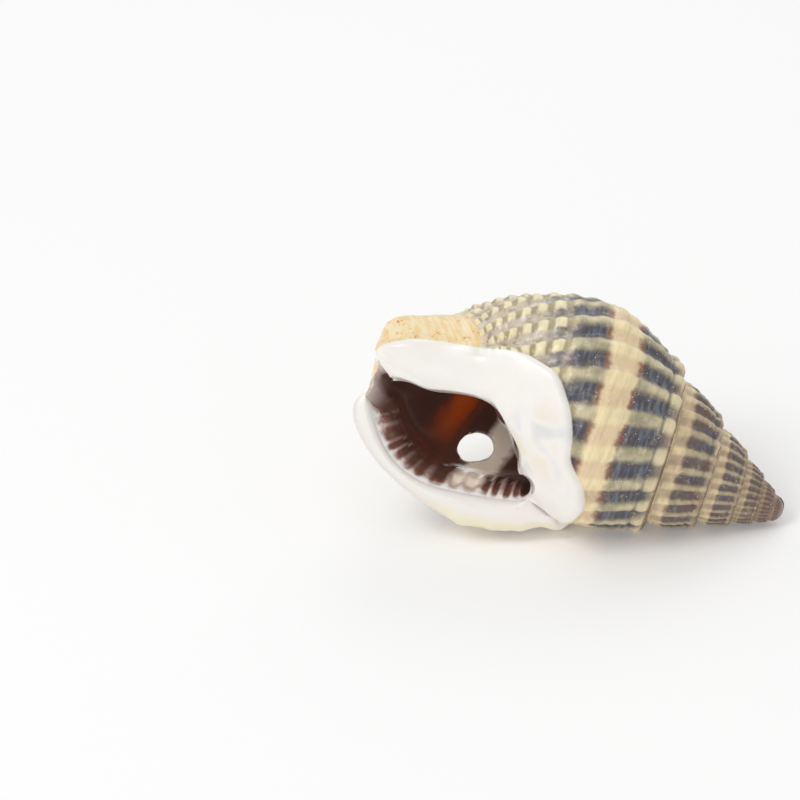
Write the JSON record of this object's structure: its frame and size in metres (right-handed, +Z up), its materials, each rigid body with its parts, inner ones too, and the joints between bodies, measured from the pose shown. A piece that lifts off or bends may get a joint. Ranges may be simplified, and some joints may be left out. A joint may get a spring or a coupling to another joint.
{
  "type": "nassa shell bead",
  "caption": "Ribbed whelk-like sea shell with a porcelain mouth, a short siphon notch and a round stringing hole drilled through its back.",
  "frame": {"origin": "middle of the footprint box, on the surface that the shell lies on", "axes": "+Z up, +X roughly towards the apex, -Y towards the side that the mouth faces"},
  "size_m": [0.0258, 0.0144, 0.0137],
  "materials": {
    "shell": "satin"
  },
  "bodies": {
    "root": {"shell": "shell"}
  },
  "joints": []
}
